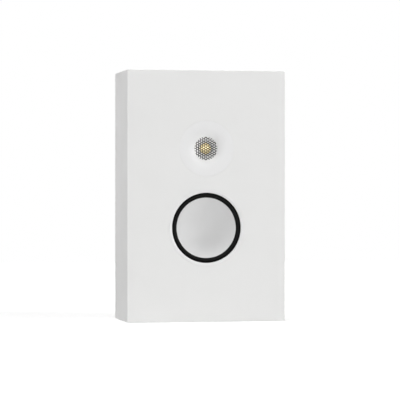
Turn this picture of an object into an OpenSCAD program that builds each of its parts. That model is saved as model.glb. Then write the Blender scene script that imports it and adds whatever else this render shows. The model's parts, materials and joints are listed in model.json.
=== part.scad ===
// Two-way on-wall speaker: a sealed wooden box with a horn-loaded dome tweeter
// above a cone bass driver, a crossover inside and terminals in the back.
// It stands on its bottom face, looks along -Y, and its width runs along X.

/* [Cabinet] */
// Width of the cabinet
cab_w = 243; // [225:1:300]
// Height of the cabinet
cab_h = 380; // [376:1:460]
// Depth of the cabinet from its front face to its back face
cab_d = 116.5; // [114:0.5:150]
// Thickness of the front baffle
baffle_t = 22; // [21:1:26]
// Thickness of the side, top and bottom panels
wall_t = 15; // [13:1:18]
// Thickness of the removable rear panel
rear_t = 15; // [14:1:18]
// Width of the shoulder that the rear panel is screwed to
shoulder_w = 8; // [7:0.5:9]
// Radius of the painted outer edges
edge_r = 0.8; // [0.5:0.1:3]
// Thickness of the foam gaskets
gasket_t = 1; // [0.5:0.1:1.5]
// Thickness of the cross brace
brace_t = 12; // [9:1:14]
// Height of the cross brace above the bottom
brace_z = 205; // [203:1:208]

/* [Bass driver] */
// Height of the bass driver's axis above the bottom
bass_z = 142; // [138:1:144]
// Outer diameter of the white trim ring
trim_d = 116; // [114:1:120]
// Width of the trim ring from its outer edge to the rubber
trim_w = 5; // [4:0.5:6]
// Thickness of the trim ring
trim_t = 3; // [2.5:0.1:3.5]
// Width of the bevel on the trim ring's inner edge
bevel_w = 2.2; // [1:0.1:2.6]
// Depth of the bevel on the trim ring's inner edge
bevel_depth = 1.1; // [0.6:0.1:1.8]
// Width of the rubber edge between the trim ring and the cone
rubber_w = 7.4; // [6.6:0.2:9]
// Depth of the cone from its rim to its centre
cone_depth = 19; // [14:0.5:22]
// Fullness of the cone's curve, where 2 is a parabola
cone_power = 1.8; // [1.5:0.05:2.4]
// Thickness of the cone
cone_t = 0.8; // [0.6:0.1:1.2]
// Width of the bass driver's mounting flange outside its trim ring
flange_w = 11.5; // [9:0.5:13]
// Number of screws in the bass driver's flange
bass_screw_n = 6; // [4:1:8]
// Number of windows in the basket
window_n = 6; // [5:1:8]
// Inner diameter of the bass voice coil's former
coil_d = 30; // [26:0.5:32]
// Diameter of the bass driver's ferrite magnet
bass_magnet_d = 90; // [80:1:94]
// Thickness of the bass driver's ferrite magnet
bass_magnet_t = 15; // [12:0.5:18]
// Radius of the leads that bring the current to the cone
lead_r = 0.6; // [0.4:0.1:0.8]

/* [Tweeter] */
// Height of the tweeter's axis above the bottom
tweeter_z = 262; // [258:1:268]
// Outer diameter of the waveguide
guide_d = 84; // [80:1:90]
// Depth of the waveguide from the front face to its throat
guide_depth = 6; // [5:0.5:8]
// Fullness of the waveguide's curve, where a higher one stays flat for longer
guide_power = 4; // [1.8:0.1:5]
// Diameter of the waveguide's throat, where the mesh shows
throat_d = 35; // [34.6:0.1:36]
// Thickness of the waveguide's rim
guide_rim_t = 6; // [5:0.5:8]
// Thickness of the waveguide's moulded wall
guide_wall = 3; // [2:0.5:3.5]
// Distance between neighbouring cells of the mesh
mesh_pitch = 3.7; // [3:0.1:5]
// Width of the mesh's strands
mesh_strand = 1; // [0.6:0.05:1.2]
// Thickness of the mesh
mesh_t = 0.5; // [0.4:0.1:0.8]
// Diameter of the tweeter's dome
dome_d = 16; // [15:0.5:19]
// Height of the tweeter's dome
dome_h = 3.4; // [2.6:0.1:4]
// Thickness of the tweeter's dome
dome_t = 0.3; // [0.2:0.05:0.4]
// Diameter of the tweeter's magnet
tweeter_magnet_d = 50; // [44:1:51]

/* [Back] */
// Height of the terminals' recess above the bottom, at its middle
term_z = 62; // [58:1:66]
// Width of the terminals' recess
term_w = 76; // [66:1:84]
// Height of the terminals' recess
term_h = 52; // [46:1:56]
// Depth of the terminals' recess
term_depth = 24; // [23:0.5:28]
// Distance between the two terminals
post_pitch = 19; // [18:0.1:24]
// Diameter of the terminals' caps
cap_d = 12.5; // [11:0.1:14]
// Length of the terminals' caps
cap_l = 18; // [16:0.5:19]
// Diameter of the banana plug sockets
socket_d = 4; // [3.9:0.1:4.2]
// Distance between the two hanging keyholes
keyhole_pitch = 150; // [130:1:150]
// Distance from the top of the cabinet to the keyholes' slots
keyhole_drop = 44; // [40:1:60]
// Diameter of a keyhole where the screw's head goes in
keyhole_d = 10; // [9:0.5:11]
// Width of a keyhole's slot
keyhole_slot = 4.6; // [4:0.1:5.5]
// Height of the rubber pads that touch the wall
pad_t = 1.5; // [1:0.1:4]
// Diameter of the rubber pads
pad_d = 16; // [10:1:20]

/* [Crossover] */
// Width of the crossover's board
board_w = 130; // [120:1:150]
// Height of the crossover's board
board_h = 76; // [72:1:80]
// Thickness of the crossover's board
board_t = 1.6; // [1.2:0.1:2.4]
// Height of the spacers under the board
spacer_h = 6; // [5:0.5:7]
// Diameter of the bass coil's core
core_d = 34; // [30:1:36]
// Height of the bass coil's core
core_h = 20; // [17:0.5:22]
// Diameter of the treble coil
air_coil_d = 26; // [22:1:28]
// Width of the treble coil
air_coil_w = 14; // [11:0.5:15]
// Diameter of the larger capacitor
capacitor_d = 16; // [13:0.5:17]
// Length of the larger capacitor
capacitor_l = 34; // [28:1:36]
// Length of a resistor
resistor_l = 20; // [17:1:22]
// Thickness of a resistor
resistor_t = 9; // [8:0.5:10]
// Radius of the wires inside the box
wire_r = 1.1; // [0.8:0.1:1.2]

/* [Hidden] */

// Fineness of round shapes
$fn = 72;
// Room between pieces that slide into each other by hand
fit = 0.1;
// How far a cutting shape runs past what it cuts
over = 1;

// Depths along Y
front_y = -(cab_d + pad_t) / 2;
back_y = front_y + cab_d;
rear_front_y = back_y - rear_t;

// Screws: shank radius, head radius and head height
screw_r = 1.7;
head_r = 3.4;
head_h = 2.2;

// Places in a driver's own frame: z is 0 at the front face and grows forwards
trim_seat = -trim_t;
rubber_t = 1;
rim_top = trim_seat - rubber_t;
lip_t = 9;
flange_front = -lip_t - gasket_t;
metal_t = 2.5;
flange_back = flange_front - metal_t;
trim_in_r = trim_d / 2 - trim_w;
flange_r = trim_d / 2 + flange_w;
rim_out_r = trim_in_r + 0.6;
rim_in_r = rim_out_r - 3;
baffle_hole_r = rim_out_r + 0.8;
cone_r = trim_in_r - rubber_w;
cone_rim_z = rim_top + 0.6;
spider_z = -36;
spider_land_r = 43;
basket_end = -48.5;
plate_t = 5;
gap_z = basket_end - plate_t / 2;
magnet_front = basket_end - plate_t;
magnet_back = magnet_front - bass_magnet_t;
former_r = coil_d / 2;
former_t = 0.3;
coil_t = 0.6;
coil_l = 11;
air_gap = 0.3;
former_end = gap_z - coil_l / 2 - 1;
bass_screw_circle = (flange_r + rim_out_r) / 2 + 0.8;
tab_w = 26;
tab_in = spider_land_r + 1;
tab_out = spider_land_r + 9;
strip_t = 1.6;
tag_gap = 12;

// Depths in the tweeter's frame
guide_r = guide_d / 2;
throat_r = throat_d / 2;
throat_z = -guide_depth;
mesh_r = throat_r + 1.3;
mesh_front = throat_z - 0.6;
mesh_back = mesh_front - mesh_t;
guide_back = -15;
ring_t = 3;
ring_r = 33;
dome_top = mesh_back - 0.9;
dome_base = dome_top - dome_h;
dome_r = dome_d / 2;
dome_land = 0.25;
roll_w = 2.2;
shelf_out_r = dome_r + roll_w + 1.3;
tweeter_plate_front = guide_back - ring_t;
tweeter_plate_t = 3;
tweeter_magnet_t = 8;
tweeter_gap = 0.2;
tweeter_former_t = 0.15;
tweeter_coil_t = 0.3;
tweeter_coil_l = 2;
tweeter_magnet_front = tweeter_plate_front - tweeter_plate_t;
tweeter_magnet_back = tweeter_magnet_front - tweeter_magnet_t;
chamber_l = 14;
tweeter_screw_circle = 29;
boss_r = 3.8;
guide_screw_circle = 37;
guide_hole_r = 34;

// Back fittings
cup_wall = 2.2;
cup_rim_w = 8;
cup_rim_t = 2.5;
cup_w = term_w + 2 * cup_wall;
cup_h = term_h + 2 * cup_wall;
post_z = term_z - 8;
stud_r = socket_d / 2 + 1;
collar_r = 5;
collar_h = 3;
socket_floor = 4.5;
stem_l = 12;
nut_h = 4;
keyhole_z = cab_h - keyhole_drop;
keyhole_run = 9;
plate_w = 22;
plate_h = 42;
keyhole_plate_t = 1.5;
pocket_depth = 11;
board_z = cab_h - wall_t - board_h / 2 - 9;
board_back_y = rear_front_y - spacer_h;
board_front_y = board_back_y - board_t;
board_screw_r = 1.3;
board_screw_inset = 6;
core_bar_r = core_d * 0.19;
core_flange_t = core_h * 0.075;

// Places on the crossover's board, as X and Z from its middle
core_place = [-board_w * 0.29, -board_h * 0.08];
air_coil_place = [board_w * 0.31, board_h * 0.1];
capacitor_places = [[0, board_h * 0.24], [board_w * 0.03, -board_h * 0.13]];
resistor_places = [[board_w * 0.22, -board_h * 0.29], [board_w * 0.34, -board_h * 0.29]];

// The cross brace: its rails round the two air holes
brace_rail = 15;
brace_post = 22;

// Points of a circular arc
function arc_points(x, y, r, a0, a1, n) =
  [for (i = [0:n]) [x + r * cos(a0 + (a1 - a0) * i / n), y + r * sin(a0 + (a1 - a0) * i / n)]];

// Outline of a rectangle with round corners, about its middle
function round_rect(w, h, r, n = 4) = concat(
  arc_points(w / 2 - r, h / 2 - r, r, 0, 90, n),
  arc_points(r - w / 2, h / 2 - r, r, 90, 180, n),
  arc_points(r - w / 2, r - h / 2, r, 180, 270, n),
  arc_points(w / 2 - r, r - h / 2, r, 270, 360, n)
);

// Depth of the cone's front face at radius r: a bowl that runs on through the middle
function cone_z(r) = cone_rim_z - cone_depth * (1 - pow(r / cone_r, cone_power));

// Depth of the waveguide's face at radius r: a shallow rim that steepens to the throat
function guide_z(r) = throat_z * pow((guide_r - 1 - r) / (guide_r - 1 - throat_r), guide_power);

// Steps from a to b, both included
function steps(a, b, n) = [for (i = [0:n]) a + (b - a) * i / n];

// Puts a driver's frame on the front face at height z
module on_front(z) {
  translate([0, front_y, z])
    rotate([90, 0, 0])
      children();
}

// Puts a fitting's frame on a plane that faces backwards: its z grows backwards
module facing_back(x, y, z) {
  translate([x, y, z])
    rotate([-90, 0, 0])
      children();
}

// A turned ring between two radii and two heights
module ring(r_in, r_out, z_low, z_high) {
  rotate_extrude()
    translate([r_in, z_low])
      square([r_out - r_in, z_high - z_low]);
}

// Copies spread evenly round the axis
module around(n, r, start = 0) {
  for (i = [0:n - 1])
    rotate([0, 0, start + 360 * i / n])
      translate([r, 0, 0])
        children();
}

// A countersunk screw: its head's face is at z = 0 and it points down
module countersunk_screw(length) {
  rotate_extrude()
    polygon([
      [0, -length], [screw_r * 0.3, -length], [screw_r, -length + 2], [screw_r, -head_h],
      [head_r, 0], [1.1, 0], [1.1, -1.2], [0, -1.2]
    ]);
}

// A pan head screw: its head sits on z = 0 and it points down
module pan_screw(length, r = screw_r) {
  rotate_extrude()
    polygon([
      [0, -length], [r * 0.3, -length], [r, -length + 1.5], [r, 0],
      [r * 2, 0], [r * 2, r * 0.9], [r * 1.5, r * 1.3], [0, r * 1.3]
    ]);
}

// A round tube that follows a list of points, with its rings kept from twisting
module wire(points, r, sides = 8) {
  last = len(points) - 1;
  ways = [for (i = [0:last]) unit(points[min(i + 1, last)] - points[max(i - 1, 0)])];
  first = cross(ways[0], abs(ways[0][2]) < 0.9 ? [0, 0, 1] : [1, 0, 0]);
  marks = carried(ways, 0, first);
  rings = [for (i = [0:last]) for (k = [0:sides - 1])
    points[i] + r * (cos(360 * k / sides) * marks[i] + sin(360 * k / sides) * cross(ways[i], marks[i]))];
  low = [for (k = [0:sides - 1]) k];
  high = [for (k = [sides - 1:-1:0]) last * sides + k];
  walls = [for (i = [0:last - 1]) for (k = [0:sides - 1])
    [i * sides + k, (i + 1) * sides + k, (i + 1) * sides + (k + 1) % sides, i * sides + (k + 1) % sides]];
  polyhedron(rings, concat([low], [high], walls));
}
function unit(v) = v / norm(v);

// A mark carried from ring to ring, kept square to the way that the wire runs
function carried(ways, i, mark) = i == len(ways) ? [] :
  let (next = unit(mark - (mark * ways[i]) * ways[i])) concat([next], carried(ways, i + 1, next));

// A smooth curve through two ends with two handles
function bend(a, b, c, d, n) =
  [for (t = steps(0, 1, n))
    pow(1 - t, 3) * a + 3 * pow(1 - t, 2) * t * b + 3 * (1 - t) * t * t * c + pow(t, 3) * d];

// Cabinet

// The whole cabinet's outer form with its edges eased
module outer_block() {
  translate([0, (front_y + back_y) / 2, cab_h / 2])
    intersection() {
      linear_extrude(cab_h, center = true)
        polygon(round_rect(cab_w, cab_d, edge_r));
      rotate([90, 0, 0])
        linear_extrude(cab_d, center = true)
          polygon(round_rect(cab_w, cab_h, edge_r));
      rotate([90, 0, 90])
        linear_extrude(cab_w, center = true)
          polygon(round_rect(cab_d, cab_h, edge_r));
    }
}

// The room behind the baffle that one mitred panel fills, as an outline in X and Z
module mitred_panel(outline) {
  difference() {
    intersection() {
      outer_block();
      translate([0, back_y + over, 0])
        rotate([90, 0, 0])
          linear_extrude(cab_d - baffle_t + over)
            polygon(outline);
    }
    rear_seat();
    rear_screw_places()
      cylinder(r = screw_r + fit / 2, h = 60, center = true, $fn = 24);
  }
}

// The recess in the back that holds the rear panel and its gasket
module rear_seat() {
  x = cab_w - 2 * (wall_t - shoulder_w);
  z = cab_h - 2 * (wall_t - shoulder_w);
  translate([-x / 2, rear_front_y - gasket_t, (cab_h - z) / 2])
    cube([x, rear_t + gasket_t + over, z]);
}

// The rear panel's screws, in the middle of its shoulder
module rear_screw_places() {
  x = cab_w / 2 - wall_t + shoulder_w / 2;
  z = cab_h / 2 - wall_t + shoulder_w / 2;
  for (side = [-1, 1]) {
    for (k = [-1, 0, 1])
      facing_back(side * x, back_y, cab_h / 2 + k * (z - 12))
        children();
    facing_back(side * x / 3, back_y, cab_h / 2 + z)
      children();
    facing_back(side * x / 3, back_y, cab_h / 2 - z)
      children();
  }
}

module front_baffle() {
  color("whitesmoke")
    difference() {
      intersection() {
        outer_block();
        translate([-cab_w / 2 - over, front_y - over, -over])
          cube([cab_w + 2 * over, baffle_t + over, cab_h + 2 * over]);
      }
      on_front(bass_z)
        bass_cut_out();
      on_front(tweeter_z)
        tweeter_cut_out();
    }
}

// The bass driver's hole, with the ring's rebate in front and the flange's behind
module bass_cut_out() {
  ring(0, trim_d / 2 + fit, trim_seat, over);
  ring(0, baffle_hole_r, -baffle_t - over, over);
  ring(0, flange_r + 0.5, -baffle_t - over, -lip_t);
  around(bass_screw_n, bass_screw_circle, 30)
    ring(0, screw_r + fit / 2, -lip_t - over, -trim_seat - 7.5);
}

// The waveguide's hole, with its rim's rebate and the screws that come from behind
module tweeter_cut_out() {
  ring(0, guide_r + fit, -guide_rim_t - gasket_t, over);
  ring(0, guide_hole_r, -baffle_t - over, 0);
  around(4, guide_screw_circle + 1, 45) {
    ring(0, screw_r + fit, -baffle_t - over, 0);
    ring(0, head_r + 1, -baffle_t - over, -baffle_t + 8);
  }
}

module left_side_panel() {
  color("whitesmoke")
    mitred_panel([
      [-cab_w / 2, 0], [-cab_w / 2 + wall_t, wall_t],
      [-cab_w / 2 + wall_t, cab_h - wall_t], [-cab_w / 2, cab_h]
    ]);
}

module right_side_panel() {
  color("whitesmoke")
    mitred_panel([
      [cab_w / 2, 0], [cab_w / 2, cab_h],
      [cab_w / 2 - wall_t, cab_h - wall_t], [cab_w / 2 - wall_t, wall_t]
    ]);
}

module top_panel() {
  color("whitesmoke")
    mitred_panel([
      [-cab_w / 2, cab_h], [-cab_w / 2 + wall_t, cab_h - wall_t],
      [cab_w / 2 - wall_t, cab_h - wall_t], [cab_w / 2, cab_h]
    ]);
}

module bottom_panel() {
  color("whitesmoke")
    mitred_panel([
      [-cab_w / 2, 0], [cab_w / 2, 0],
      [cab_w / 2 - wall_t, wall_t], [-cab_w / 2 + wall_t, wall_t]
    ]);
}

// The rear panel drops into its recess with a small gap all round
module rear_panel() {
  x = cab_w - 2 * (wall_t - shoulder_w) - 2 * 0.3;
  z = cab_h - 2 * (wall_t - shoulder_w) - 2 * 0.3;
  color("whitesmoke")
    difference() {
      translate([-x / 2, rear_front_y, (cab_h - z) / 2])
        cube([x, rear_t, z]);
      rear_screw_places() {
        cylinder(r = screw_r + fit, h = 60, center = true, $fn = 24);
        translate([0, 0, -head_h - fit])
          cylinder(r1 = screw_r + fit, r2 = head_r + 2 * fit, h = head_h + fit + 0.01, $fn = 24);
      }
      facing_back(0, back_y, term_z)
        cup_cut_out();
      for (side = [-1, 1])
        facing_back(side * keyhole_pitch / 2, back_y, keyhole_z)
          keyhole_cut_out();
      board_screw_places()
        translate([0, 0, -spacer_h])
          cylinder(r = board_screw_r + fit / 2, h = 8, center = true, $fn = 24);
    }
}

module rear_panel_gasket() {
  x = cab_w - 2 * (wall_t - shoulder_w) - 2 * 0.6;
  z = cab_h - 2 * (wall_t - shoulder_w) - 2 * 0.6;
  w = shoulder_w - 1.2;
  color("dimgray")
    difference() {
      translate([-x / 2, rear_front_y - gasket_t, (cab_h - z) / 2])
        cube([x, gasket_t, z]);
      translate([w - x / 2, rear_front_y - gasket_t - over, (cab_h - z) / 2 + w])
        cube([x - 2 * w, gasket_t + 2 * over, z - 2 * w]);
      rear_screw_places()
        cylinder(r = screw_r + 2 * fit, h = 60, center = true, $fn = 24);
    }
}

module rear_panel_screws() {
  color("black")
    rear_screw_places()
      translate([0, 0, -0.1])
        countersunk_screw(26);
}

// The board between the drivers, from the baffle to the rear panel, with air holes
module cross_brace() {
  w = cab_w - 2 * wall_t;
  d = cab_d - baffle_t - rear_t;
  color("tan")
    difference() {
      translate([-w / 2, front_y + baffle_t, brace_z - brace_t / 2])
        cube([w, d, brace_t]);
      for (side = [-1, 1])
        translate([side * w / 4, front_y + baffle_t + d / 2, brace_z])
          linear_extrude(brace_t + 2 * over, center = true)
            polygon(round_rect(w / 2 - brace_post, d - 2 * brace_rail, brace_rail * 0.8));
    }
}

// Soft wadding against both side walls, under and over the brace
module wadding_pads() {
  pad_w = 10;
  room = 6;
  d = cab_d - baffle_t - rear_t - 3 * room;
  mid_y = front_y + baffle_t + room + d / 2;
  spans = [
    [wall_t + room, brace_z - brace_t / 2 - room],
    [brace_z + brace_t / 2 + room, cab_h - wall_t - room]
  ];
  color("ghostwhite")
    for (side = [-1, 1], span = spans)
      translate([side * (cab_w / 2 - wall_t - pad_w / 2), mid_y, (span[0] + span[1]) / 2])
        rotate([90, 0, 0])
          linear_extrude(d, center = true)
            polygon(round_rect(pad_w, span[1] - span[0], 3));
}

// Back fittings

// A keyhole's outline: the head's hole below, the slot above it
module keyhole_outline(grow = 0) {
  translate([0, keyhole_run])
    circle(r = keyhole_d / 2 + grow);
  translate([-keyhole_slot / 2 - grow, 0])
    square([keyhole_slot + 2 * grow, keyhole_run]);
  circle(r = keyhole_slot / 2 + grow);
}

// The plate's shallow seat and the pocket behind the keyhole
module keyhole_cut_out() {
  translate([0, keyhole_run / 2, -keyhole_plate_t])
    linear_extrude(keyhole_plate_t + over)
      polygon(round_rect(plate_w + 2 * fit, plate_h + 2 * fit, 3));
  translate([0, 0, -pocket_depth])
    linear_extrude(pocket_depth)
      keyhole_outline(2.4);
  for (k = [-1, 1])
    translate([0, keyhole_run / 2 + k * (plate_h / 2 - 5), 0]) {
      translate([0, 0, -12])
        cylinder(r = screw_r + fit / 2, h = 12, $fn = 24);
      translate([0, 0, -head_h - 2 * fit])
        cylinder(r1 = screw_r + fit, r2 = head_r + 2 * fit, h = head_h + 2 * fit, $fn = 24);
    }
}

module keyhole_plates() {
  color("silver")
    for (side = [-1, 1])
      facing_back(side * keyhole_pitch / 2, back_y, keyhole_z)
        difference() {
          translate([0, keyhole_run / 2, -keyhole_plate_t])
            linear_extrude(keyhole_plate_t)
              polygon(round_rect(plate_w, plate_h, 3));
          translate([0, 0, -keyhole_plate_t - over])
            linear_extrude(keyhole_plate_t + 2 * over)
              keyhole_outline();
          for (k = [-1, 1])
            translate([0, keyhole_run / 2 + k * (plate_h / 2 - 5), -head_h - fit])
              cylinder(r1 = screw_r + fit, r2 = head_r + 2 * fit, h = head_h + fit + 0.01, $fn = 24);
        }
}

module keyhole_screws() {
  color("silver")
    for (side = [-1, 1])
      for (k = [-1, 1])
        facing_back(side * keyhole_pitch / 2, back_y, keyhole_z)
          translate([0, keyhole_run / 2 + k * (plate_h / 2 - 5), -0.1])
            countersunk_screw(11);
}

// Rubber pads that keep the lacquer off the wall
module wall_pads() {
  inset = wall_t + 14;
  color("dimgray")
    for (x = [-1, 1])
      for (z = [inset, cab_h - inset])
        facing_back(x * (cab_w / 2 - inset + 4), back_y, z)
          rotate_extrude()
            polygon([
              [0, 0], [pad_d / 2, 0], [pad_d / 2, pad_t * 0.5], [pad_d / 2 - pad_t * 0.5, pad_t], [0, pad_t]
            ]);
}

// The hole and the shallow seat that take the terminals' cup
module cup_cut_out() {
  room = 1;
  translate([0, 0, -rear_t - over])
    linear_extrude(rear_t + 2 * over)
      polygon(round_rect(cup_w + room, cup_h + room, 7));
  translate([0, 0, -cup_rim_t - gasket_t])
    linear_extrude(cup_rim_t + gasket_t + over)
      polygon(round_rect(cup_w + 2 * cup_rim_w + room, cup_h + 2 * cup_rim_w + room, 9));
  cup_screw_places()
    cylinder(r = screw_r + fit / 2, h = 26, center = true, $fn = 24);
}

module cup_screw_places() {
  for (x = [-1, 1])
    for (y = [-1, 1])
      translate([x * (term_w / 2 + cup_rim_w * 0.66), y * (term_h / 2 + cup_rim_w * 0.66), 0])
        children();
}

// The moulded cup: a rim, a tapered recess and a floor that carries the posts
module terminal_cup() {
  color("black")
    facing_back(0, back_y, term_z)
      difference() {
        union() {
          translate([0, 0, -cup_rim_t])
            linear_extrude(cup_rim_t)
              polygon(round_rect(cup_w + 2 * cup_rim_w, cup_h + 2 * cup_rim_w, 8));
          translate([0, 0, -term_depth - cup_wall])
            linear_extrude(term_depth + cup_wall)
              polygon(round_rect(cup_w, cup_h, 6));
        }
        translate([0, 0, -term_depth])
          linear_extrude(term_depth + over)
            polygon(round_rect(term_w, term_h, 4));
        for (side = [-1, 1])
          translate([side * post_pitch / 2, term_z - post_z, -term_depth - cup_wall - over])
            cylinder(r = stud_r + fit, h = cup_wall + 2 * over, $fn = 32);
        cup_screw_places()
          translate([0, 0, -head_h - fit])
            cylinder(r1 = screw_r + fit, r2 = head_r + 2 * fit, h = head_h + fit + 0.01, $fn = 24);
        cup_screw_places()
          cylinder(r = screw_r + fit, h = 26, center = true, $fn = 24);
      }
}

module terminal_cup_gasket() {
  w = cup_w + 2 * cup_rim_w - 0.6;
  h = cup_h + 2 * cup_rim_w - 0.6;
  color("dimgray")
    facing_back(0, back_y, term_z)
      translate([0, 0, -cup_rim_t - gasket_t])
        difference() {
          linear_extrude(gasket_t)
            polygon(round_rect(w, h, 8));
          translate([0, 0, -over])
            linear_extrude(gasket_t + 2 * over)
              polygon(round_rect(cup_w + 1.2, cup_h + 1.2, 7));
          cup_screw_places()
            cylinder(r = screw_r + 2 * fit, h = 26, center = true, $fn = 24);
        }
}

module terminal_cup_screws() {
  color("black")
    facing_back(0, back_y, term_z)
      cup_screw_places()
        translate([0, 0, -0.1])
          countersunk_screw(12);
}

// Puts a terminal's frame on the recess's floor: z grows backwards, out of the box
module on_post(side) {
  facing_back(side * post_pitch / 2, back_y - term_depth, post_z)
    children();
}

// A collar, a threaded stem through the floor and a socket for a banana plug
module terminal_studs() {
  stud_l = collar_h + cap_l - 1;
  color("goldenrod")
    for (side = [-1, 1])
      on_post(side)
        difference() {
          union() {
            ring(0, collar_r, 0, collar_h);
            ring(0, stud_r, -cup_wall - stem_l, stud_l);
          }
          ring(0, socket_d / 2, collar_h + socket_floor, stud_l + over);
          translate([0, 0, collar_h + socket_floor / 2])
            rotate([90, 0, 0])
              cylinder(r = 1.1, h = 20, center = true, $fn = 24);
        }
}

// A fluted plastic cap that turns on the stem
module terminal_cap(side) {
  flutes = 18;
  on_post(side)
    difference() {
      rotate_extrude()
        polygon([
          [stud_r + 0.05, collar_h + 0.3], [cap_d / 2 - 0.6, collar_h + 0.3], [cap_d / 2, collar_h + 0.9],
          [cap_d / 2, collar_h + cap_l - 1.2], [cap_d / 2 - 1.2, collar_h + cap_l],
          [stud_r + 0.05, collar_h + cap_l]
        ]);
      around(flutes, cap_d / 2 + 0.35)
        translate([0, 0, collar_h + 2.5])
          cylinder(r = 0.75, h = cap_l, $fn = 16);
    }
}

module red_terminal_cap() {
  color("firebrick")
    terminal_cap(1);
}

module black_terminal_cap() {
  color("black")
    terminal_cap(-1);
}

// A hexagonal nut on each stem, inside the box
module terminal_nuts() {
  color("goldenrod")
    for (side = [-1, 1])
      on_post(side)
        translate([0, 0, -cup_wall - nut_h])
          difference() {
            cylinder(r = stud_r + 2.8, h = nut_h, $fn = 6);
            ring(0, stud_r + 0.03, -over, nut_h + over);
          }
}

// Bass driver

// A white ring, flush with the front, whose bevelled inner edge meets the rubber
module bass_trim_ring() {
  color("white")
    on_front(bass_z)
      rotate_extrude()
        polygon([
          [trim_in_r, trim_seat], [trim_d / 2, trim_seat], [trim_d / 2, -0.3], [trim_d / 2 - 0.3, 0],
          [trim_in_r + bevel_w, 0], [trim_in_r, -bevel_depth]
        ]);
}

module bass_gasket() {
  color("dimgray")
    on_front(bass_z)
      difference() {
        ring(rim_out_r + 1.5, flange_r - 0.5, flange_front, -lip_t);
        around(bass_screw_n, bass_screw_circle, 30)
          ring(0, screw_r + 2 * fit, flange_front - over, 0);
      }
}

// The cast frame: a rim for the rubber, a flange, a windowed wall, a shelf for the
// spider and a floor for the motor
module bass_basket() {
  window_top = flange_back - 3;
  window_low = spider_z + 3;
  rib_w = 14;
  floor_r = bass_magnet_d / 2 - 7;
  window_w = 2 * PI * (spider_land_r + 5) / window_n - rib_w;
  color("dimgray")
    on_front(bass_z)
      difference() {
        union() {
          rotate_extrude()
            polygon([
              [rim_in_r, rim_top], [rim_out_r, rim_top], [rim_out_r, flange_front],
              [flange_r, flange_front], [flange_r, flange_back], [rim_out_r, flange_back],
              [spider_land_r + metal_t, spider_z + 2], [spider_land_r + metal_t, spider_z - metal_t],
              [spider_land_r - 1.5, spider_z - metal_t], [floor_r, basket_end], [former_r + 6, basket_end],
              [former_r + 6, basket_end + metal_t], [floor_r - 2, basket_end + metal_t],
              [spider_land_r - 4, spider_z], [spider_land_r, spider_z],
              [spider_land_r, spider_z + 2], [rim_in_r, flange_front - 1]
            ]);
          translate([tab_in, -tab_w / 2, spider_z - metal_t])
            cube([tab_out - tab_in, tab_w, metal_t]);
        }
        around(window_n, spider_land_r - 7, 180 / window_n)
          translate([0, -window_w / 2, window_low])
            cube([rim_out_r - spider_land_r + 13, window_w, window_top - window_low]);
        around(bass_screw_n, bass_screw_circle, 30)
          ring(0, screw_r + fit, flange_back - over, flange_front + over);
      }
}

// The rubber edge: an outer land, a half roll and an inner land under the cone
module bass_surround() {
  skin = 0.8;
  roll_out = rim_in_r + 1.2;
  roll_in = cone_r + 0.4;
  roll_r = (roll_out - roll_in) / 2;
  roll_mid = (roll_out + roll_in) / 2;
  land_z = cone_z(cone_r - 3) - cone_t - 0.5;
  color("black")
    on_front(bass_z)
      rotate_extrude()
        polygon(concat(
          [[rim_out_r - 0.2, trim_seat - 0.1], [rim_out_r - 0.2, rim_top], [roll_out - skin, rim_top]],
          arc_points(roll_mid, rim_top, roll_r - skin, 0, 180, 14),
          [
            [roll_in, land_z - skin], [cone_r - 3, land_z - skin],
            [cone_r - 3, land_z], [roll_in - 0.2, land_z + 0.8]
          ],
          arc_points(roll_mid, rim_top, roll_r, 180, 0, 14),
          [[roll_out + 0.3, trim_seat - 0.1]]
        ));
}

// The cone: one continuous bowl with a short neck behind it for the former
module bass_cone() {
  rim = [for (r = steps(0, cone_r, 24)) [r, cone_z(r)]];
  back = [for (r = steps(cone_r, 0, 24)) [r, cone_z(r) - cone_t]];
  neck_in = former_r + former_t + 0.05;
  color("gainsboro")
    on_front(bass_z)
      union() {
        rotate_extrude()
          polygon(concat(rim, back));
        ring(neck_in, neck_in + 1, cone_z(former_r) - cone_t - 3, cone_z(former_r) - cone_t / 2);
      }
}

module bass_former() {
  color("goldenrod")
    on_front(bass_z)
      ring(former_r, former_r + former_t, former_end, cone_z(former_r) - cone_t - 0.05);
}

module bass_coil() {
  color("chocolate")
    on_front(bass_z)
      ring(former_r + former_t, former_r + former_t + coil_t, gap_z - coil_l / 2, gap_z + coil_l / 2);
}

// The corrugated cloth disc that keeps the coil in the middle of its gap
module bass_spider() {
  cloth = 0.5;
  wave = 1.1;
  waves = 4;
  r_in = former_r + former_t + 0.1;
  r_out = spider_land_r - 0.3;
  wave_in = r_in + 2;
  wave_out = spider_land_r - 4.5;
  top = [for (r = steps(wave_in, wave_out, 48))
    [r, spider_z + cloth + wave * sin(360 * waves * (r - wave_in) / (wave_out - wave_in))]];
  low = [for (i = [48:-1:0]) top[i] - [0, cloth]];
  color("orange")
    on_front(bass_z)
      rotate_extrude()
        polygon(concat(
          [[r_in, spider_z + cloth]], top, [[r_out, spider_z + cloth], [r_out, spider_z]], low,
          [[r_in, spider_z]]
        ));
}

module bass_top_plate() {
  color("darkgray")
    on_front(bass_z)
      ring(former_r + former_t + coil_t + air_gap, bass_magnet_d / 2 - 4, magnet_front, basket_end);
}

module bass_magnet() {
  color("darkslategray")
    on_front(bass_z)
      ring(former_r + 9, bass_magnet_d / 2, magnet_back, magnet_front);
}

// The back plate and the pole in one turned piece, with a vent through it
module bass_pole_yoke() {
  pole_r = former_r - air_gap;
  plate_r = bass_magnet_d / 2 - 4;
  vent_r = 4;
  back_z = magnet_back - plate_t;
  color("darkgray")
    on_front(bass_z)
      rotate_extrude()
        polygon([
          [vent_r, back_z], [plate_r - 1, back_z], [plate_r, back_z + 1], [plate_r, magnet_back],
          [pole_r, magnet_back], [pole_r, basket_end - 1], [pole_r - 1, basket_end], [vent_r, basket_end]
        ]);
}

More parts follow.
